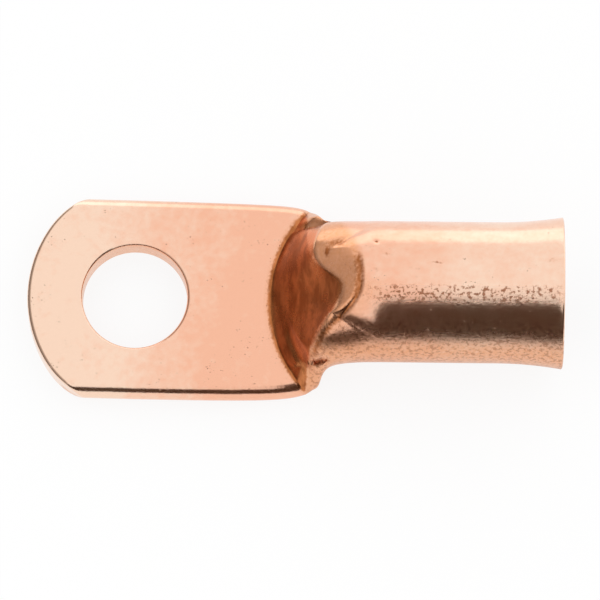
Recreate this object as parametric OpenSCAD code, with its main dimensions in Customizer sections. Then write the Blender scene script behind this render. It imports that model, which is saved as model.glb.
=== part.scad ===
// Copper cable lug for a 70 mm2 conductor and an M10 stud.
// It is one length of soft copper tube. The left end is pressed flat into a
// palm, sheared round and punched for the stud. The right end stays round as
// the crimp barrel, and its mouth is belled to take the strands.
// X runs from the palm to the mouth, Z is up, and the origin is the centre of
// the stud hole on the palm's underside, which is the contact face.

/* [Tube] */
// Bore of the barrel, which is the conductor's diameter and its clearance
bore_d = 11.2; // [8:0.1:13]
// Wall of the tube, half the thickness of the palm
wall = 1.45; // [1:0.05:1.8]

/* [Palm] */
// Stud hole through the palm
stud_d = 10.5; // [6.4:0.1:11]
// From the stud hole's centre to the tip of the palm
tip_reach = 10.8; // [9:0.1:12]
// Radius of the palm's sheared end
end_r = 12.9; // [12.5:0.1:20]
// From the stud hole's centre to the clipped corners of the end
corner_reach = 11.4; // [10.9:0.1:13]
// Rounding that the punch and the shear leave on the top edges
roll_r = 0.4; // [0.2:0.05:0.6]
// Angle by which the press left the palm askew of the barrel
skew = 1; // [-3:0.1:3]

/* [Shoulder] */
// From the stud hole's centre to the middle of the curved press line
press_reach = 13.5; // [12.5:0.1:17]
// How far the press line's ends lie beyond its middle
press_bow = 3.9; // [2:0.1:6]
// Steepness of the scoop that the press's nose left above the line
nose_angle = 52; // [45:1:60]
// How much steeper the scoop gets towards its sides
nose_flank = 0.03; // [0:0.005:0.06]
// Slope of the sunken band between the scoop and the barrel
band_angle = 37; // [30:1:45]
// From the press line's middle to the far end of the band
band_run = 9; // [8.2:0.1:12]
// How far the band's far end lies under the barrel's unpressed crest
band_step = 0.5; // [0.2:0.05:0.8]
// Fillet along the press line
line_fillet = 0.5; // [0.1:0.1:0.8]
// Softness of the creases where the slopes meet the tube
crease = 0.35; // [0.2:0.05:1]
// From the press line's ends to the middle of the throat between the sides
throat_run = 1.05; // [0.6:0.05:1.4]
// How much further right the throat lies on the -Y side, half of it each way
throat_lean = 0.22; // [0:0.02:0.3]
// Length over which the palm's -Y side draws in towards the throat
near_ease = 1.9; // [0.5:0.1:2.2]
// Length over which the palm's +Y side draws in towards the throat
far_ease = 0.8; // [0.5:0.1:2.2]
// Length over which the sides run out from the throat into the barrel
barrel_ease = 0.5; // [0.4:0.05:1.2]

/* [Barrel] */
// From the stud hole's centre to the mouth
mouth_reach = 42.8; // [38:0.1:70]
// How far the mouth is belled out beyond the barrel
bell = 0.55; // [0.1:0.05:1]
// Length of the bell
bell_l = 6.5; // [4:0.5:9]
// Rounding of the mouth's rim
rim_r = 0.25; // [0.1:0.05:0.4]

/* [Hidden] */
copper = "#CE8560";

// Fineness: points round the turned faces, points to a quarter of the tube's
// section, rings of points along the palm, the shoulder and the hollow, and
// steps along a small rounding and along the bell
$fn = 96;
quarter_n = 16;
palm_rings = 9;
shoulder_rings = 26;
hollow_rings = 14;
arc_n = 5;
bell_n = 10;

// How the palm's rings crowd towards the press line, and how many times
// shorter than the shoulder the stretch is on which its creases soften
crowding = 1.5;
soften = 6;

// Overlap of solids that are joined or cut, and how far a pressed blank
// stands over the face that is then cut on it
lap = 1;
proud = 0.03;

// The round tube
bore_r = bore_d / 2;
tube_r = bore_r + wall;

// The flat palm: the tube's girth folded over, two walls thick
palm_t = 2 * wall;
palm_half = PI * bore_r / 2 + wall;
fold_share = 0.4;

// Stations along X: the press line's ends, the middle of the throat where
// the palm turns into the barrel, the band's far end, the round tube, and
// the blank's end beyond the shear
shoulder_x = press_reach + press_bow;
throat_x = shoulder_x + throat_run;
band_x = press_reach + band_run;
tube_run = 2;
tube_x = band_x + tube_run;
blank_x = -corner_reach - 2 * lap;

// How the band's far end curves back to the palm towards the -Y side, where
// the barrel is creased deeply, and towards the +Y side
near_bow = 0.145;
far_bow = 0.05;

// The press line is an arc between the palm's sides at the shoulder
shoulder_half = mix(palm_half, tube_r, throat(shoulder_x, 0));
press_r = (shoulder_half ^ 2 + press_bow ^ 2) / (2 * press_bow);
press_c = press_reach + press_r;

// The barrel hangs where the skewed palm's middle line meets the shoulder
barrel_y = -tan(skew) * shoulder_x;

function mix(a, b, t) = a + (b - a) * t;
function smooth(t) = let(c = min(max(t, 0), 1)) c * c * (3 - 2 * c);

// The smaller of two heights, with their crease rounded over a width k
function soft_min(a, b, k) = min(a, b) - max(k - abs(a - b), 0) ^ 2 / (4 * k);

// How far the section has gone from palm, 0, to barrel, 1, at x on the -Y
// side, -1, or the +Y side, 1
function opened(x, side) =
    let(run = x - throat_x + side * throat_lean,
        ease = run > 0 ? barrel_ease : side < 0 ? near_ease : far_ease)
    0.5 + atan(run / ease) / 180;
function throat(x, side) =
    let(first = opened(0, side), last = opened(tube_x, side))
    min(max((opened(x, side) - first) / (last - first), 0), 1);

// How far the sides have lifted, from the press line's ends onwards
function lift(x, side) =
    let(start = throat(shoulder_x, side))
    max(0, (throat(x, side) - start) / (1 - start));

// X on ring u at share s of its half width: -1 is the blank's end, 0 is the
// press line and 1 is where the round barrel starts
function ring_x(u, s) =
    let(line_x = press_c - sqrt(press_r ^ 2 - (s * shoulder_half) ^ 2))
    u < 0 ? mix(line_x, blank_x, -u) : mix(line_x, tube_x, u);

// Slope of the scoop at y, and its height at a run from the press line
function nose_slope(y) = tan(nose_angle) * (1 + nose_flank * y ^ 2);
function nose_z(run, y) = palm_t - line_fillet + sqrt((run * nose_slope(y)) ^ 2 + line_fillet ^ 2);

// Height of the sunken band, which slopes down to the left under the barrel
function band_z(x, y) =
    let(end_x = band_x - (y < 0 ? near_bow : far_bow) * y ^ 2,
        crest_z = tube_r + sqrt(max(tube_r ^ 2 - y ^ 2, 0)))
    crest_z - band_step - tan(band_angle) * (end_x - x);

// Turns a point of the straight blank askew with the palm, for ring u
function skewed(p, u) =
    mix([p.x * cos(skew) + p.y * sin(skew), p.y * cos(skew) - p.x * sin(skew), p.z],
        [p.x, p.y + barrel_y, p.z], smooth(u));

// Point at share t of a quarter section of half width w, from its side, 0, to
// its middle, 1. The share q says how far it is from flat palm to round tube.
// It gives y, and the height as a share of the quarter's own.
function quarter(t, w, fold, q) =
    let(bend = min(t / fold_share, 1) * 90,
        run = max((t - fold_share) / (1 - fold_share), 0))
    [mix(fold * cos(bend) + (w - fold) * (1 - run), w * cos(90 * t), q),
     mix(sin(bend), sin(90 * t), q)];

// Point k of ring u, drawn in by inset, in order from the +Y side over the
// top to the -Y side and back underneath
function section_point(k, u, inset) =
    let(side_x = ring_x(u, 1),
        top = k < 2 * quarter_n,
        step = k % (2 * quarter_n),
        share = 1 - abs(step / quarter_n - 1),
        side = (top ? 1 : -1) * (step <= quarter_n ? 1 : -1),
        w = mix(palm_half, tube_r, throat(side_x, side)),
        side_z = mix(wall, tube_r, lift(side_x, side)),
        place = quarter(share, w - inset, side_z - inset, smooth(u)),
        y = side * place[0],
        x = ring_x(u, y / w),
        over = proud * (1 - smooth(u)),
        softness = mix(proud, crease, min(soften * max(u, 0), 1)),
        nose = nose_z(x - ring_x(0, y / w), y),
        pressed_z = u < 0 ? palm_t : soft_min(nose, band_z(x, y), softness),
        wall_z = inset * sqrt(1 + nose_slope(y) ^ 2),
        free_z = side_z + (side_z - inset + over) * place[1],
        low_z = side_z - (side_z - inset) * place[1],
        roof_z = soft_min(free_z, pressed_z - wall_z + 2 * over, softness),
        top_z = max(roof_z, low_z + proud * place[1]))
    skewed([x, y, top ? top_z : low_z], u);

function ring_at(u, inset) =
    [for (k = [0:4 * quarter_n - 1]) section_point(k, u, inset + proud * smooth(u))];

// Rings with the last one repeated further on, inside the barrel or its bore
function run_on(rings) = concat(rings, [[for (p = rings[len(rings) - 1]) p + [lap, 0, 0]]]);

// Closed skin over rings of n points each, capped by strips at both ends
module skin(rings) {
    n = len(rings[0]);
    last = len(rings) - 1;
    walls = [for (i = [0:last - 1], k = [0:n - 1], half = [0, 1])
        let(a = i * n + k, b = i * n + (k + 1) % n)
        half == 0 ? [a, b + n, b] : [a, a + n, b + n]];
    caps = [for (end = [0, last], k = [0:n / 2 - 1], half = [0, 1])
        let(a = end * n + k, b = a + 1, c = end * n + (n - k - 1) % n, d = end * n + (n - k) % n,
            face = half == 0 ? [a, c, d] : [a, b, c])
        if (face[0] != face[1] && face[1] != face[2])
            end == 0 ? face : [face[2], face[1], face[0]]];
    polyhedron([for (ring = rings) each ring], concat(walls, caps), convexity = 6);
}

// Points of a quarter turn of radius r about a centre, from angle a to b
function arc(centre, r, a, b) =
    [for (i = [0:arc_n]) centre + r * [cos(mix(a, b, i / arc_n)), sin(mix(a, b, i / arc_n))]];

// The tube's flattened end with the shoulder, proud of the palm's top face
module pressed_tube() {
    palm = [for (i = [0:palm_rings - 1]) -((1 - i / palm_rings) ^ crowding)];
    shoulder = [for (i = [0:shoulder_rings]) i / shoulder_rings];
    skin(run_on([for (u = concat(palm, shoulder)) ring_at(u, 0)]));
}

// The hollow that closes to nothing under the scoop
module closing_hollow() {
    skin(run_on([for (i = [1:hollow_rings]) ring_at(i / hollow_rings, wall)]));
}

// Turns a profile of [radius, x] points about the barrel's axis
module turned(profile) {
    translate([0, barrel_y, tube_r])
        rotate([0, 90, 0])
            rotate_extrude()
                polygon(profile);
}

// The first steps of the bell on a tube of radius r, opening with the square
// of the distance from where it starts
function bell_line(r, steps) =
    [for (i = [0:steps]) [r + bell * (i / bell_n) ^ 2, mouth_reach - bell_l * (1 - i / bell_n)]];

module barrel() {
    rim = arc([tube_r + bell - rim_r, mouth_reach - rim_r], rim_r, 0, 90);
    turned(concat([[0, tube_x], [tube_r, tube_x]], bell_line(tube_r, bell_n - 1), rim,
        [[0, mouth_reach]]));
}

module barrel_bore() {
    mouth_r = bore_r + bell;
    turned(concat([[0, tube_x], [bore_r, tube_x]], bell_line(bore_r, bell_n),
        [[mouth_r, mouth_reach + lap], [0, mouth_reach + lap]]));
}

// Everything above the palm and left of the press line, which it stays just
// clear of so that no two faces fall together
module press_die() {
    clear = 2 * proud;
    translate([0, 0, palm_t])
        difference() {
            translate([blank_x - lap, -palm_half - lap, 0])
                cube([shoulder_x - blank_x + lap, 2 * (palm_half + lap), 2 * tube_r]);
            translate([press_c, 0, -lap])
                cylinder(r = press_r - clear, h = 2 * (tube_r + lap));
        }
}

// Rod of radius r that flares by roll at the palm's top face, or is rounded
// off there by a negative roll
module rimmed_rod(r, roll) {
    rotate_extrude()
        polygon(concat([[0, -lap], [r, -lap]],
            arc([r + roll, palm_t + proud - abs(roll)], abs(roll), roll > 0 ? 180 : 0, 90),
            [[r + roll, palm_t + lap], [0, palm_t + lap]]));
}

module stud_punch() {
    rimmed_rod(stud_d / 2, roll_r);
}

// What the shear takes off round the palm's end and its two corners
module end_shear() {
    difference() {
        translate([blank_x - lap, -palm_half - lap, -lap / 2])
            cube([-blank_x, 2 * (palm_half + lap), palm_t + lap]);
        intersection() {
            translate([end_r - tip_reach, 0, 0]) rimmed_rod(end_r, -roll_r);
            rimmed_rod(corner_reach, -roll_r);
        }
    }
}

module cable_lug() {
    color(copper)
        difference() {
            union() {
                pressed_tube();
                barrel();
            }
            closing_hollow();
            barrel_bore();
            rotate([0, 0, -skew]) {
                press_die();
                end_shear();
            }
            stud_punch();
        }
}

cable_lug();
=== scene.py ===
import math

import bpy
import numpy as np
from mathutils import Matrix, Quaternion, Vector


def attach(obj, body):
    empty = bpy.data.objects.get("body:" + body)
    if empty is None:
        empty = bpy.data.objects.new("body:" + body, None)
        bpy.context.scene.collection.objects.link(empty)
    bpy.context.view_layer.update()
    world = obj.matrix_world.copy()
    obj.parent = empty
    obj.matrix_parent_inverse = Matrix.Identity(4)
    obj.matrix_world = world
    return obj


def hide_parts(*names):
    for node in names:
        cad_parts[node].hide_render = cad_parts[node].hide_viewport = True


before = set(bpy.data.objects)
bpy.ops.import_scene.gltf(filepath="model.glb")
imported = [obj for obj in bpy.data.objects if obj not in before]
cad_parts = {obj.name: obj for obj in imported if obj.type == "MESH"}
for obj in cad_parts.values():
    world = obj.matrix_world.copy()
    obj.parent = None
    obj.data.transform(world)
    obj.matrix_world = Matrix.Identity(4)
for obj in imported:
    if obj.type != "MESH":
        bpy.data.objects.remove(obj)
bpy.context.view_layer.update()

# ---- The lug ----------------------------------------------------------------
# One length of soft copper tube, 14.1 mm across with a 1.45 mm wall. The left
# end is pressed flat into a palm, sheared round and punched for an M10 stud.
# The right end stays round as the crimp barrel, and its mouth is belled.

# The tube and its belled mouth, in millimetres
bore_r = 5.6
wall = 1.45
tube_r = bore_r + wall
mouth_x = 42.8
bell = 0.55
bell_length = 6.5
rim_r = 0.25

# The palm, which is the tube folded flat, two walls thick
palm_t = 2 * wall
palm_half = math.pi * bore_r / 2 + wall
stud_r = 5.25
end_r = 12.9
tip_reach = 10.8
corner_reach = 11.4
roll_r = 0.4
skew = math.radians(1)

# The curved press line, and the throat between the two shoulders, which
# open over a length of their own on each side
press_x = 13.5
press_bow = 3.9
line_fillet = 0.5
shoulder_x = press_x + press_bow
throat_x = shoulder_x + 1.05
throat_lean = 0.22
near_ease = 1.9
far_ease = 0.8
barrel_ease = 0.5
barrel_ease_lead = 0.7
tube_x = 24.5
blank_x = -13.4
barrel_y = -math.tan(skew) * shoulder_x

# The scoop's inner rim, the sunken band beyond it, and the valley where the
# band ends, which follows the rim on the near side and fades on the far side
rim_x = 17.2
rim_reach = 3.5
rim_tip_y = -0.75
rim_near_w = 3.6
rim_far_w = 2.45
valley_x = 22.4
valley_bow = 4.6
valley_far_bow = 0.05
valley_shift = 0.1
band_step = 0.5
band_step_far = 0.1
band_slope = 0.78
band_slope_far = 0.62
crease = 0.3
crease_far = 1.0
groove_depth = 0.26
groove_w = 0.38
lip_depth = 0.34
lip_length = 1.3

# Points round a section: those of half a folded side, of half a flat side,
# and of the whole round
fold_n = 20
flat_n = 30
quarter_n = fold_n + flat_n
fold_share = fold_n / quarter_n
around = np.arange(4 * quarter_n)


def mix(a, b, share):
    """a at share 0 and b at share 1, in a straight line between them."""
    return a + (b - a) * share


def ease(share):
    """Three times the share squared less twice its cube, level outside 0 and 1."""
    held = np.clip(share, 0, 1)
    return held * held * (3 - 2 * held)


def lower(a, b, softness):
    """The smaller height, less the square of the overlap with the softness over four times it."""
    overlap = np.maximum(softness - np.abs(a - b), 0)
    return np.minimum(a, b) - overlap ** 2 / (4 * softness)


def higher(a, b, softness):
    """The larger height, rounded as the lower one is, upside down."""
    return -lower(-a, -b, softness)


def opened(x, side):
    """Half plus an arctangent of the distance from the throat, over each side's or the barrel's length."""
    run = x - throat_x + side * throat_lean
    palm_length = np.where(side < 0, near_ease, far_ease)
    length = mix(palm_length, barrel_ease, ease(run + barrel_ease_lead))
    return 0.5 + np.arctan(run / length) / math.pi


def throat(x, side):
    """The share by which the section has opened between the stud hole and the round tube."""
    first = opened(0.0, side)
    return np.clip((opened(x, side) - first) / (opened(tube_x, side) - first), 0, 1)


def lift(x, side):
    """The share by which the sides have risen, counted from the ends of the press line."""
    start = throat(shoulder_x, side)
    return np.maximum(0, (throat(x, side) - start) / (1 - start))


shoulder_half = mix(palm_half, tube_r, throat(shoulder_x, 0))
press_r = (shoulder_half ** 2 + press_bow ** 2) / (2 * press_bow)
press_c = press_x + press_r


def ring_x(u, s):
    """From the press line's arc at share s of its half width, straight to the blank's end or the barrel."""
    line = press_c - np.sqrt(press_r ** 2 - (s * shoulder_half) ** 2)
    return np.where(u < 0, mix(line, blank_x, -u), mix(line, tube_x, u))


def askew(x, y, z, u):
    """The palm turned by the skew angle about the stud hole, easing into the barrel moved sideways."""
    turned_x = x * math.cos(skew) + y * math.sin(skew)
    turned_y = y * math.cos(skew) - x * math.sin(skew)
    q = ease(u)
    return np.stack([mix(turned_x, x, q), mix(turned_y, y + barrel_y, q), z + 0 * x], axis=-1)


def valley_line(y):
    """Where the sunken band ends: near, a bow that levels off with the cube of y; far, a flat parabola."""
    near = valley_bow * (1 - np.exp(-(np.abs(y) / valley_bow) ** 3))
    return valley_x - np.where(y < 0, near, valley_far_bow * y ** 2)


def rim_line(y):
    """Where the scoop meets the band: a bell curve of y, wider on the near side."""
    width = np.where(y < rim_tip_y, rim_near_w, rim_far_w)
    return rim_x + rim_reach * np.exp(-((y - rim_tip_y) / width) ** 2)


def press_arc(y):
    """The press line's arc at y."""
    return press_c - np.sqrt(np.maximum(press_r ** 2 - y ** 2, 1))


def band_height(x, y):
    """The round barrel's height less a step, less a straight slope down to the left of the valley line."""
    barrel_z = tube_r + np.sqrt(np.maximum(tube_r ** 2 - y ** 2, 0))
    far = ease((y - 0.5) / 4)
    step = mix(band_step, band_step_far, far)
    slope = mix(band_slope, band_slope_far, far)
    return barrel_z - step - slope * (valley_line(y) - x)


def scoop_steepness(y):
    """The rise from the palm's level to the band at the rim line, over the run between press line and rim."""
    least_run = 1
    least_rise = 2
    start = press_arc(y)
    end = np.maximum(rim_line(y), start + least_run)
    return (np.maximum(band_height(end, y), palm_t + least_rise) - palm_t + line_fillet) / (end - start)


def scoop_height(y, run):
    """The distance from the press line times the scoop's steepness there, over a fillet."""
    return palm_t - line_fillet + np.sqrt((run * scoop_steepness(y)) ** 2 + line_fillet ** 2)


def valley_depth(x, y):
    """A bell curve across the valley line, and a slope beyond it that dies away exponentially."""
    across = x - valley_line(y) - valley_shift
    along = ease((3.5 - y) / 2.5) * ease((y + 7.2) / 1.5)
    groove = groove_depth * np.exp(-(across / groove_w) ** 2)
    slope = lip_depth * np.exp(-np.abs(across) / lip_length) * (across > 0) + lip_depth * (across <= 0)
    return (groove + slope * ease((2 - y) / 3)) * along


# Each dent's place along and across the barrel, its half length and half
# width, its depth, and how brown it is from 0 to 1
depth_column = 4
tint_column = 5
dents = np.array([
    (19.2, 2.9, 0.33, 0.5, 0.22, 0.8),
    (20.2, 3.8, 1.2, 0.45, 0.12, 0.55),
    (24.1, 0.5, 0.4, 0.4, 0.07, 0.3),
    (24.1, 3.6, 0.25, 0.16, 0.12, 0.7),
    (25.2, 2.2, 0.6, 0.2, 0.06, 0.4),
    (30.2, 1.33, 0.6, 0.14, 0.05, 0.6),
    (33.5, 1.45, 0.25, 0.14, 0.05, 0.6),
    (31.5, -0.1, 0.2, 0.14, 0.04, 0.5),
    (34.6, -0.85, 0.2, 0.14, 0.04, 0.5),
    (41.6, 1.6, 0.45, 0.25, 0.05, 0.5),
])


def dented(x, y, column):
    """The sum of a bell curve for each dent, times its depth or its tint."""
    total = 0 * x * y
    for dent in dents:
        along = (x - dent[0]) / dent[2]
        across = (y - dent[1]) / dent[3]
        total = total + dent[column] * np.exp(-along ** 2 - across ** 2)
    return total


# The least softness of a crease, and the least height of the hollow inside
no_crease = 0.001
hollow_gap = 0.03


def section(u, k, inset):
    """Point k of ring u, a quarter folded flat at u 0 and round at u 1, under the pressed height on top."""
    top = k < 2 * quarter_n
    step = k % (2 * quarter_n)
    share = 1 - np.abs(step / quarter_n - 1)
    side = np.where(top, 1, -1) * np.where(step <= quarter_n, 1, -1)
    side_x = ring_x(u, 1.0)
    half = mix(palm_half, tube_r, throat(side_x, side))
    side_z = mix(wall, tube_r, lift(side_x, side))
    bend = np.minimum(share / fold_share, 1) * math.pi / 2
    flat = np.maximum((share - fold_share) / (1 - fold_share), 0)
    turn = share * math.pi / 2
    fold = side_z - inset
    width = half - inset
    q = ease(u)
    y = side * mix(fold * np.cos(bend) + (width - fold) * (1 - flat), width * np.cos(turn), q)
    rise = mix(np.sin(bend), np.sin(turn), q)
    x = ring_x(u, y / half)
    run = x - ring_x(0.0 * u, y / half)
    softness = mix(no_crease, mix(crease, crease_far, ease(y / 4)), np.clip(6 * u, 0, 1))
    pressed = lower(scoop_height(y, run), band_height(x, y), crease)
    sunk = inset * np.sqrt(1 + scoop_steepness(y) ** 2)
    free_z = side_z + fold * rise
    low_z = side_z - fold * rise
    if inset == 0:
        dip = valley_depth(x, y) * np.clip(4 * u, 0, 1) + dented(x, y, depth_column)
        gap = 0
    else:
        dip = 0
        gap = hollow_gap * rise
    cut_z = np.maximum(lower(free_z - dip, pressed - sunk, softness), low_z + gap)
    top_z = np.where(u < 0, free_z, cut_z)
    return askew(x, y, np.where(top, top_z, low_z), u)


def barrel_rings(stations, radii):
    """Circles of the given radii about the barrel's axis, at the angles of the sections' points."""
    angle = around * math.pi / (2 * quarter_n)
    y = barrel_y + radii[:, None] * np.cos(angle)
    z = tube_r + radii[:, None] * np.sin(angle)
    return np.stack([stations[:, None] + 0 * y, y, z], axis=-1)


def belled(x, radius):
    """The radius, widened by the bell times the square of the share of the bell's length."""
    return radius + bell * np.clip((x - mouth_x + bell_length) / bell_length, 0, 1) ** 2


def band_faces(count, n, closed):
    """Quads between each ring of n points and the next, wound outwards for rings that run to +X."""
    ring = np.arange(count - 1)[:, None] * n
    along = np.arange(n if closed else n - 1)[None, :]
    a = ring + along
    b = ring + (along + 1) % n
    return np.stack([a, b, b + n, a + n], axis=-1).reshape(-1, 4)


# The skin in rings: from the seam across the palm over the shoulder and the
# barrel to the mouth, round the rim, and back through the bore to where the
# hollow closes under the scoop
seam_u = -0.15
palm_u = np.linspace(seam_u, 0, 13)[:-1]
shoulder_u = np.linspace(0, 1, 150)
outer = section(np.concatenate([palm_u, shoulder_u])[:, None], around[None, :], 0.0)

barrel_x = np.linspace(tube_x, mouth_x - rim_r, 30)[1:]
rim_turn = np.linspace(0, math.pi / 2, 7)[1:]
outer_rim_r = tube_r + bell - rim_r
inner_rim_r = bore_r + bell + rim_r
lip_turn = np.linspace(math.pi / 2, math.pi, 7)
tube_stations = np.concatenate([
    barrel_x,
    mouth_x - rim_r + rim_r * np.sin(rim_turn),
    mouth_x - rim_r + rim_r * np.sin(lip_turn),
])
tube_radii = np.concatenate([
    belled(barrel_x, tube_r),
    outer_rim_r + rim_r * np.cos(rim_turn),
    inner_rim_r + rim_r * np.cos(lip_turn),
])
bore_x = np.linspace(mouth_x - rim_r, tube_x, 16)[1:]
tube_stations = np.concatenate([tube_stations, bore_x])
tube_radii = np.concatenate([tube_radii, belled(bore_x, bore_r)])
barrel = barrel_rings(tube_stations, tube_radii)

hollow_u = np.linspace(1, 1 / 14, 26)[1:]
hollow = section(hollow_u[:, None], around[None, :], wall)
mirror = (4 * quarter_n - around) % (4 * quarter_n)
skin = np.concatenate([outer, barrel, hollow])
skin_faces = band_faces(len(skin), len(around), True)
strip = np.arange(2 * quarter_n)
last = (len(skin) - 1) * len(around)
cap_faces = last + np.stack([strip, strip + 1, mirror[strip + 1], mirror[strip]], axis=-1)
skin_faces = np.concatenate([skin_faces, cap_faces])

# The palm's edge: at each height from the underside to the top face, the
# nearest of the folded side, the sheared end and its two clipped corners
edge_rows = 2 * fold_n + 1
edge_columns = 300
row_bend = np.linspace(-math.pi / 2, math.pi / 2, edge_rows)
near_k = 2 * quarter_n - np.linspace(-fold_n, fold_n, edge_rows).astype(int)
far_k = np.linspace(-fold_n, fold_n, edge_rows).astype(int) % (4 * quarter_n)
seam_u_row = np.full(edge_rows, seam_u)
turn_back = np.array([[math.cos(skew), -math.sin(skew)], [math.sin(skew), math.cos(skew)]])
near_seam = section(seam_u_row, near_k, 0.0)[:, :2] @ turn_back.T
far_seam = section(seam_u_row, far_k, 0.0)[:, :2] @ turn_back.T


# Roundness where the clipped corners meet the end and the folded sides, and
# the share of the edge's columns that are drawn over to the seam
end_crease = 0.25
corner_crease = 0.12
pull_share = 0.08


def edge_reach(turn, bend):
    """Distance from the stud hole's axis to the palm's edge: the least to the fold, end and corners."""
    height = wall + wall * np.sin(bend)
    tiny = 1e-6
    first_x = 5
    x = first_x + 0 * turn
    for _ in range(4):
        side_y = mix(palm_half, tube_r, throat(x, np.sign(np.sin(turn)))) - wall + wall * np.cos(bend)
        x = np.clip(side_y / np.maximum(np.abs(np.tan(turn)), tiny) * np.sign(np.cos(turn)), -12, 16)
    roll = roll_r - np.sqrt(np.maximum(roll_r ** 2 - np.maximum(height - palm_t + roll_r, 0) ** 2, 0))
    fold = side_y / np.maximum(np.abs(np.sin(turn)), tiny)
    off = end_r - tip_reach
    round_r = end_r - roll
    end = off * np.cos(turn) + np.sqrt(np.maximum(round_r ** 2 - (off * np.sin(turn)) ** 2, 0))
    corner = corner_reach - roll
    cut = lower(end, corner + 0 * end, end_crease)
    return np.where(np.cos(turn) > 0.2, fold, lower(fold, cut, corner_crease))


far_turn = np.arctan2(far_seam[:, 1], far_seam[:, 0])
near_turn = np.arctan2(near_seam[:, 1], near_seam[:, 0]) + 2 * math.pi
columns = np.linspace(0, 1, edge_columns)[None, :]
turn = mix(far_turn[:, None], near_turn[:, None], columns)
reach = edge_reach(turn, row_bend[:, None] + 0 * turn)
edge_x = reach * np.cos(turn)
edge_y = reach * np.sin(turn)
edge_z = wall + wall * np.sin(row_bend)[:, None] + 0 * turn
far_pull = ease(1 - columns / pull_share)
near_pull = ease(1 - (1 - columns) / pull_share)
edge_x += (far_seam[:, :1] - edge_x[:, :1]) * far_pull + (near_seam[:, :1] - edge_x[:, -1:]) * near_pull
edge_y += (far_seam[:, 1:] - edge_y[:, :1]) * far_pull + (near_seam[:, 1:] - edge_y[:, -1:]) * near_pull
edge = askew(edge_x, edge_y, edge_z, -1.0)
edge_faces = band_faces(edge_rows, edge_columns, False)


# The palm's two faces run from the stud hole's rim out to the edge and the
# seam, and the hole's wall joins them, rolled over at the top by the punch
def closed_loop(edge_row, seam_points):
    """The edge's row from far to near side, then the seam's points back from near to far."""
    return np.concatenate([edge_row, seam_points[1:-1]])


seam_ring = section(np.array([seam_u])[:, None], around[None, :], 0.0)[0]
top_seam = seam_ring[2 * quarter_n - fold_n:fold_n - 1:-1]
low_seam = seam_ring[2 * quarter_n + fold_n:4 * quarter_n - fold_n + 1]
top_loop = closed_loop(edge[-1], top_seam)
low_loop = closed_loop(edge[0], low_seam)
loop_n = len(top_loop)
face_rings = 22
spread = np.linspace(0, 1, face_rings)[:, None, None]


def hole_ring(loop, radius, z):
    """A circle about the stud hole's axis, with each point towards the loop's own."""
    turn = np.arctan2(loop[:, 1], loop[:, 0])
    return np.stack([radius * np.cos(turn), radius * np.sin(turn), z + 0 * turn], axis=-1)


top_face = mix(hole_ring(top_loop, stud_r + roll_r, palm_t)[None], top_loop[None], spread)
low_face = mix(hole_ring(low_loop, stud_r, 0.0)[None], low_loop[None], spread)
roll_turn = np.linspace(math.pi / 2, math.pi, 9)
wall_z = np.linspace(palm_t - roll_r, 0, 14)[1:]
hole_z = np.concatenate([palm_t - roll_r + roll_r * np.sin(roll_turn), wall_z])
hole_r = np.concatenate([stud_r + roll_r + roll_r * np.cos(roll_turn), np.full(len(wall_z), stud_r)])
low_share = np.linspace(0, 1, len(hole_z))[:, None]
top_turn = np.unwrap(np.arctan2(top_loop[:, 1], top_loop[:, 0]))
low_turn = np.unwrap(np.arctan2(low_loop[:, 1], low_loop[:, 0]))
hole_turn = mix(top_turn[None], low_turn[None], low_share)
hole = np.stack([
    hole_r[:, None] * np.cos(hole_turn),
    hole_r[:, None] * np.sin(hole_turn),
    hole_z[:, None] + 0 * hole_turn,
], axis=-1)

sheets = [
    (skin, skin_faces),
    (edge, edge_faces),
    (top_face, band_faces(face_rings, loop_n, True)[:, ::-1]),
    (low_face, band_faces(face_rings, loop_n, True)),
    (hole, band_faces(len(hole), loop_n, True)),
]
points = []
faces = []
first = 0
for sheet_points, sheet_faces in sheets:
    flat_points = sheet_points.reshape(-1, 3)
    points.append(flat_points)
    faces.append(sheet_faces + first)
    first += len(flat_points)
points = np.concatenate(points)
faces = np.concatenate(faces)

# Points of two sheets that fall together are made one
weld_steps = 2000
keys = np.round(points * weld_steps).astype(np.int64)
_, first_of, welded = np.unique(keys, axis=0, return_index=True, return_inverse=True)
points = points[first_of]
faces = welded.reshape(-1)[faces]

lug_mesh = bpy.data.meshes.new("lug")
quads = [list(dict.fromkeys(face)) for face in faces.tolist()]
lug_mesh.from_pydata((points * 0.001).tolist(), [], quads)
lug_mesh.validate()
lug_mesh.update()
lug = bpy.data.objects.new("lug", lug_mesh)
bpy.context.scene.collection.objects.link(lug)
lug_mesh.shade_smooth()
lug_mesh.set_sharp_from_angle(angle=math.radians(50))

# How brown the copper is at each point: deeply in the scoop, partly tarnish and
# partly painted shade; in the valley, painted shade in its crease; and in the dents,
# which are marks of their own. Then how much darker it is: in the scoop, and as
# painted shade on the sunken band, the near flank, the palm's near edge and the hole's wall
x, y, z = points.T
own_y = y - barrel_y
press_line = press_arc(own_y)
raised = ease((z - 1.5) / 1.0)
in_scoop = ease((x - press_line + 0.6) / 0.9) * ease((rim_line(own_y) + 0.35 - x) / 0.7) * raised
valley_ends = ease((3.5 - own_y) / 2) * ease(own_y + 7.5)
# Painted shade along the valley's crease
in_valley = np.exp(-((x - valley_line(own_y) - 0.05) / 0.5) ** 2) * valley_ends
above = z > tube_r
marks = dented(x, own_y, tint_column) * above
# Brown: tarnish and painted shade in the scoop, painted shade in the valley, marks of their own in the dents
brown_and_shade = np.maximum.reduce([in_scoop, 0.62 * in_valley * above, marks])
lug_mesh.attributes.new("brown_and_shade", "FLOAT", "POINT").data.foreach_set("value", brown_and_shade.astype(np.float32))
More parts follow.
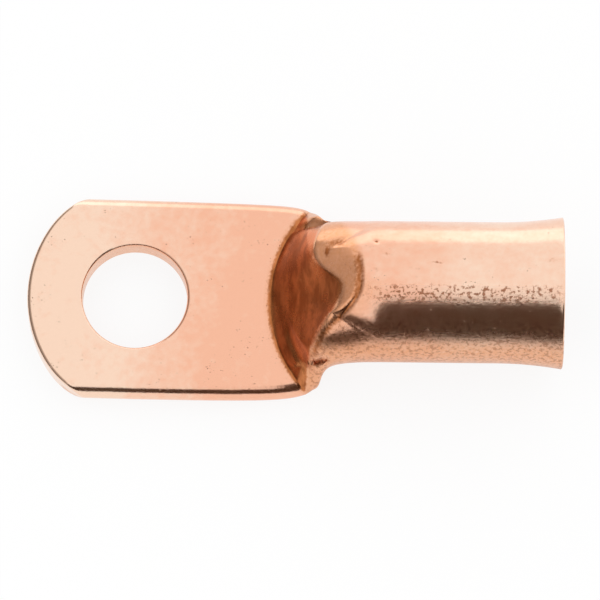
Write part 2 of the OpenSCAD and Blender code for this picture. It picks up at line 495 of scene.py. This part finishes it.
# Painted shade where the surface tilts or turns away: the sunken band and the facet beside the valley, the
# near flank where it turns down, the palm's near edge and the hole's wall
past_line = ease((x - press_line + 0.4) / 0.8)
facet = 0.5 * ease(own_y + 7.5) * ease((0.5 - own_y) / 2) * ease((valley_line(own_y) + 3.5 - x) / 3)
on_band = np.maximum(ease((valley_line(own_y) + 0.9 - x) / 1.1), facet) * past_line * raised
down = np.arctan2(-own_y, z - tube_r)
on_flank = np.maximum(ease((x - 18) / 1.5), past_line) * ease((down - 0.75) / 0.5) * (own_y < 0)
palm_flank = (x < 17) * ease((-8.6 - y) / 0.4) * ease((1.3 - z) / 0.6)
inside = (np.hypot(x, y) < stud_r + 0.02) & (z < palm_t - 0.1)
# Darker copper: tarnish and painted shade in the scoop, painted shade everywhere else in this mask
tarnish_and_shade = np.maximum.reduce([in_scoop, 0.75 * on_band, 0.7 * on_flank, 0.6 * palm_flank, 0.7 * inside])
lug_mesh.attributes.new("tarnish_and_shade", "FLOAT", "POINT").data.foreach_set("value", tarnish_and_shade.astype(np.float32))

# Where the barrel's skin is etched in a stripe, and lightly all along its
# near flank and the near shoulder
turn_down = np.degrees(down)
across_stripe = ease((turn_down - 8) / 1.5) * ease((26 - turn_down) / 8)
stripe = across_stripe * ease((x - 22.5) / 3) * ease((43 - x) / 1.5)
low_flank = ease((turn_down - 30) / 20) * ease(x - 17)
pitted = np.maximum(stripe, 0.55 * low_flank)
lug_mesh.attributes.new("pitted", "FLOAT", "POINT").data.foreach_set("value", pitted.astype(np.float32))

pale_copper = (0.96, 0.69, 0.53, 1)
rosy_copper = (0.93, 0.50, 0.34, 1)
# Darker copper for the scoop's tarnish, and for painted shade on the band, the near flank, the palm's near
# edge and the hole's wall
tarnished_shaded_copper = (0.82, 0.38, 0.19, 1)
# Browns for the dents' marks, for the scoop's tarnish and painted shade, and for the valley's painted shade
dark_brown = (0.36, 0.115, 0.035, 1)
light_brown = (0.60, 0.21, 0.075, 1)
pit_brown = (0.36, 0.13, 0.05, 1)
etched_brown = (0.30, 0.10, 0.04, 1)
bump_depth = 0.00005

copper = bpy.data.materials.new("soft_copper")
copper.use_nodes = True
nodes = copper.node_tree.nodes
links = copper.node_tree.links
shader = nodes["Principled BSDF"]


def put(kind, sources, **settings):
    """A node of the finish: its settings, then a value or another node's output for each input named."""
    made = nodes.new("ShaderNode" + kind)
    for name, value in settings.items():
        setattr(made, name, value)
    for socket, source in sources.items():
        if isinstance(source, bpy.types.NodeSocket):
            links.new(source, made.inputs[socket])
        else:
            made.inputs[socket].default_value = source
    return made.outputs


def reckon(operation, a, b, clamp=False):
    """One sum of two values or outputs."""
    return put("Math", {0: a, 1: b}, operation=operation, use_clamp=clamp)[0]


def between(value, low, high):
    """0 below the low value, 1 above the high one, and smooth between them."""
    sources = {"Value": value, "From Min": low, "From Max": high}
    return put("MapRange", sources, interpolation_type="SMOOTHSTEP")[0]


def blended(share, a, b, way="MIX"):
    """Two colours mixed by a share."""
    sources = {"Factor": share, "A": a, "B": b}
    return put("Mix", sources, data_type="RGBA", blend_type=way)["Result"]


def speckle(scale, detail, stretch=(1, 1, 1)):
    """Cloudy noise from 0 to 1, with that many spots to a millimetre."""
    moved = put("Mapping", {"Vector": place, "Scale": tuple(1000 * v for v in stretch)})[0]
    return put("TexNoise", {"Vector": moved, "Scale": scale, "Detail": detail, "Roughness": 0.6})[0]


def spots(scale, cut, cluster):
    """Ragged spots where one noise is above the cut, only where a coarser noise makes a cluster."""
    gathered = between(speckle(scale / 7, 2), cluster, cluster + 0.12)
    return reckon("MULTIPLY", gathered, between(speckle(scale, 2, (0.8, 1.3, 1)), cut, cut + 0.06))


place = put("TexCoord", {})["Object"]
along = put("SeparateXYZ", {"Vector": place})["X"]
tarnish_and_shade_at = put("Attribute", {}, attribute_name="tarnish_and_shade")["Fac"]
brown_and_shade_at = put("Attribute", {}, attribute_name="brown_and_shade")["Fac"]
pitted_at = put("Attribute", {}, attribute_name="pitted")["Fac"]

# Pale copper at the palm's tip, rosier towards the shoulder, paler again on
# the barrel, in soft clouds
clouds = speckle(0.16, 4)
rosy_end = between(along, -0.006, 0.012)
rosy_start = between(along, 0.034, 0.02)
rosy = reckon("MULTIPLY", rosy_end, reckon("ADD", reckon("MULTIPLY", rosy_start, 0.7), 0.3))
mottle = reckon("SUBTRACT", speckle(1.3, 5), 0.5)
rosy = reckon("ADD", rosy, reckon("MULTIPLY", reckon("SUBTRACT", clouds, 0.5), 1.4))
rosy = reckon("ADD", rosy, mottle, True)
colour = blended(rosy, pale_copper, rosy_copper)

# Darker copper for the scoop's tarnish and for painted shade, then the brown of
# the scoop, partly tarnish and partly painted shade, with its ragged edge and its
# slanting streaks; the same brown paints shade in the valley and colours the dents
specks = reckon("SUBTRACT", speckle(3.2, 4), 0.5)
tarnish_and_shade_share = reckon("MULTIPLY", tarnish_and_shade_at, reckon("ADD", 1.0, reckon("MULTIPLY", specks, 1.6)), True)
colour = blended(tarnish_and_shade_share, colour, tarnished_shaded_copper)
streaks = reckon("SUBTRACT", speckle(0.55, 5, (1.7, 0.6, 1)), 0.5)
brown_tint = blended(between(streaks, -0.13, 0.13), dark_brown, light_brown)
ragged = reckon("ADD", brown_and_shade_at, reckon("MULTIPLY", specks, 0.8))
brown_and_shade_share = reckon("MULTIPLY", between(ragged, 0.15, 0.7), between(brown_and_shade_at, 0.0, 0.12))
colour = blended(brown_and_shade_share, colour, brown_tint)

# Sparse pits in clusters, and the etched skin of the stripe and the flank
sparse_pits = spots(4.2, 0.66, 0.56)
etched = reckon("MULTIPLY", pitted_at, between(speckle(2.6, 4), 0.5, 0.6))
colour = blended(reckon("MULTIPLY", sparse_pits, 0.5), colour, pit_brown)
colour = blended(reckon("MULTIPLY", etched, 0.85), colour, etched_brown)
links.new(colour, shader.inputs["Base Color"])

# Rougher where it is etched or under the tarnish and painted shade, over a fine grain and a soft unevenness
shader.inputs["Metallic"].default_value = 1
worn = speckle(0.5, 4)
roughness = reckon("ADD", 0.12, reckon("MULTIPLY", worn, 0.12))
roughness = reckon("ADD", roughness, reckon("MULTIPLY", pitted_at, 0.15))
roughness = reckon("ADD", roughness, reckon("MULTIPLY", tarnish_and_shade_at, 0.1))
links.new(roughness, shader.inputs["Roughness"])

grain = reckon("MULTIPLY", speckle(4.5, 3), 0.12)
peel = reckon("MULTIPLY", speckle(0.7, 2), 0.35)
rough_skin = reckon("MULTIPLY", reckon("MULTIPLY", speckle(3.0, 4), pitted_at), 1.1)
height = reckon("ADD", reckon("ADD", grain, peel), rough_skin)
height = reckon("SUBTRACT", height, sparse_pits)
bump = put("Bump", {"Strength": 1.0, "Distance": bump_depth, "Height": height})
links.new(bump[0], shader.inputs["Normal"])
lug_mesh.materials.append(copper)

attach(lug, "root")
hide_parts("cable_lug")

# ---- The table --------------------------------------------------------------
# A white sheet under the lug, which keeps the lug's soft shadow.
floor_z = -0.00057
floor_half = 2
floor_emission = 0.85
floor_corners = [
    (-floor_half, -floor_half, floor_z),
    (floor_half, -floor_half, floor_z),
    (floor_half, floor_half, floor_z),
    (-floor_half, floor_half, floor_z),
]
floor_mesh = bpy.data.meshes.new("table_sheet")
floor_mesh.from_pydata(floor_corners, [], [(0, 1, 2, 3)])
floor = bpy.data.objects.new("table_sheet", floor_mesh)
bpy.context.scene.collection.objects.link(floor)
paper = bpy.data.materials.new("white_paper")
paper.use_nodes = True
paper_nodes = paper.node_tree.nodes
paper_shader = paper_nodes["Principled BSDF"]
paper_shader.inputs["Base Color"].default_value = (1, 1, 1, 1)
paper_shader.inputs["Roughness"].default_value = 1
paper_shader.inputs["Specular IOR Level"].default_value = 0
white = paper_nodes.new("ShaderNodeEmission")
seen = paper_nodes.new("ShaderNodeMixShader")
path = paper_nodes.new("ShaderNodeLightPath")
white_share = paper_nodes.new("ShaderNodeMath")
white_share.operation = "MULTIPLY"
white_share.inputs[1].default_value = floor_emission
mirrored = paper_nodes.new("ShaderNodeMath")
mirrored.operation = "MAXIMUM"
seen_at_all = paper_nodes.new("ShaderNodeMath")
seen_at_all.operation = "MAXIMUM"
paper_links = paper.node_tree.links
paper_links.new(path.outputs["Is Glossy Ray"], mirrored.inputs[0])
paper_links.new(path.outputs["Is Transmission Ray"], mirrored.inputs[1])
paper_links.new(path.outputs["Is Camera Ray"], seen_at_all.inputs[0])
paper_links.new(mirrored.outputs[0], seen_at_all.inputs[1])
paper_links.new(seen_at_all.outputs[0], white_share.inputs[0])
paper_links.new(white_share.outputs[0], seen.inputs["Fac"])
paper_links.new(paper_shader.outputs[0], seen.inputs[1])
paper_links.new(white.outputs[0], seen.inputs[2])
paper_links.new(seen.outputs[0], paper_nodes["Material Output"].inputs["Surface"])
floor_mesh.materials.append(paper)

# ---- Light ------------------------------------------------------------------
# An even white tent, with dark cards that give the metal its dark bands and
# a bright one behind it. All of them show in reflections only.
world = bpy.data.worlds.new("white_tent")
bpy.context.scene.world = world
world.use_nodes = True
world.node_tree.nodes["Background"].inputs["Color"].default_value = (1, 1, 1, 1)
world.node_tree.nodes["Background"].inputs["Strength"].default_value = 1


def hang_card(name, corners, low_shade, high_shade):
    """A flat card seen only in reflections: its corners, and how light its low and high sides are."""
    mesh = bpy.data.meshes.new(name)
    mesh.from_pydata(corners, [], [(0, 1, 2, 3)])
    card = bpy.data.objects.new(name, mesh)
    bpy.context.scene.collection.objects.link(card)
    felt = bpy.data.materials.new(name)
    felt.use_nodes = True
    nodes = felt.node_tree.nodes
    glow = nodes.new("ShaderNodeEmission")
    place = nodes.new("ShaderNodeTexCoord")
    split = nodes.new("ShaderNodeSeparateXYZ")
    grade = nodes.new("ShaderNodeMapRange")
    heights = [corner[2] for corner in corners]
    grade.inputs["From Min"].default_value = min(heights)
    grade.inputs["From Max"].default_value = max(heights)
    tint = nodes.new("ShaderNodeMix")
    tint.data_type = "RGBA"
    tint.inputs["A"].default_value = (*low_shade, 1)
    tint.inputs["B"].default_value = (*high_shade, 1)
    links = felt.node_tree.links
    links.new(place.outputs["Object"], split.inputs[0])
    links.new(split.outputs["Z"], grade.inputs["Value"])
    links.new(grade.outputs[0], tint.inputs["Factor"])
    links.new(tint.outputs["Result"], glow.inputs["Color"])
    links.new(glow.outputs[0], nodes["Material Output"].inputs["Surface"])
    mesh.materials.append(felt)
    card.visible_camera = False
    card.visible_diffuse = False
    card.visible_shadow = False
    return card


def upright(along, start, end, low, high, place):
    """Corners of an upright card along X or Y from start to end, from low to high, at its place across."""
    rows = [(start, low), (end, low), (end, high), (start, high)]
    if along == "x":
        return [(run, place, height) for run, height in rows]
    return [(place, run, height) for run, height in rows]


dark = (0.075, 0.05, 0.035)
dim = (0.12, 0.1, 0.09)
pale = (0.9, 0.85, 0.8)
bright = (1.4, 1.4, 1.4)
card_end = 0.2
front_y = -0.030
front_low_z = 0.0067
front_split_x = 0.0185
hang_card("front_card", upright("x", front_split_x, card_end, front_low_z, 0.058, front_y), dark, dark)
hang_card("low_front_card", upright("x", -card_end, front_split_x, front_low_z, 0.026, front_y), dark, dark)
hang_card("left_card", upright("y", -0.04, 0.05, floor_z, 0.045, -0.022), dim, pale)
hang_card("back_card", upright("x", -card_end, card_end, floor_z, 0.023, 0.045), bright, bright)

# ---- Camera -----------------------------------------------------------------
# A long lens looks down steeply, rolled a little to the lug's own line.
target = Vector((0.01657, -0.00025, 0.003))
rise = math.radians(76)
roll = math.radians(0.6)
distance = 0.8
back = Vector((0, -math.cos(rise), math.sin(rise)))
camera = bpy.data.objects.new("camera", bpy.data.cameras.new("camera"))
bpy.context.scene.collection.objects.link(camera)
camera.data.sensor_width = 36
camera.data.lens = 478.6
camera.data.clip_end = 10
camera.location = target + distance * back
camera.rotation_mode = "QUATERNION"
camera.rotation_quaternion = (-back).to_track_quat("-Z", "Y") @ Quaternion((0, 0, 1), roll)
bpy.context.scene.camera = camera

bpy.context.scene.view_settings.view_transform = "Standard"
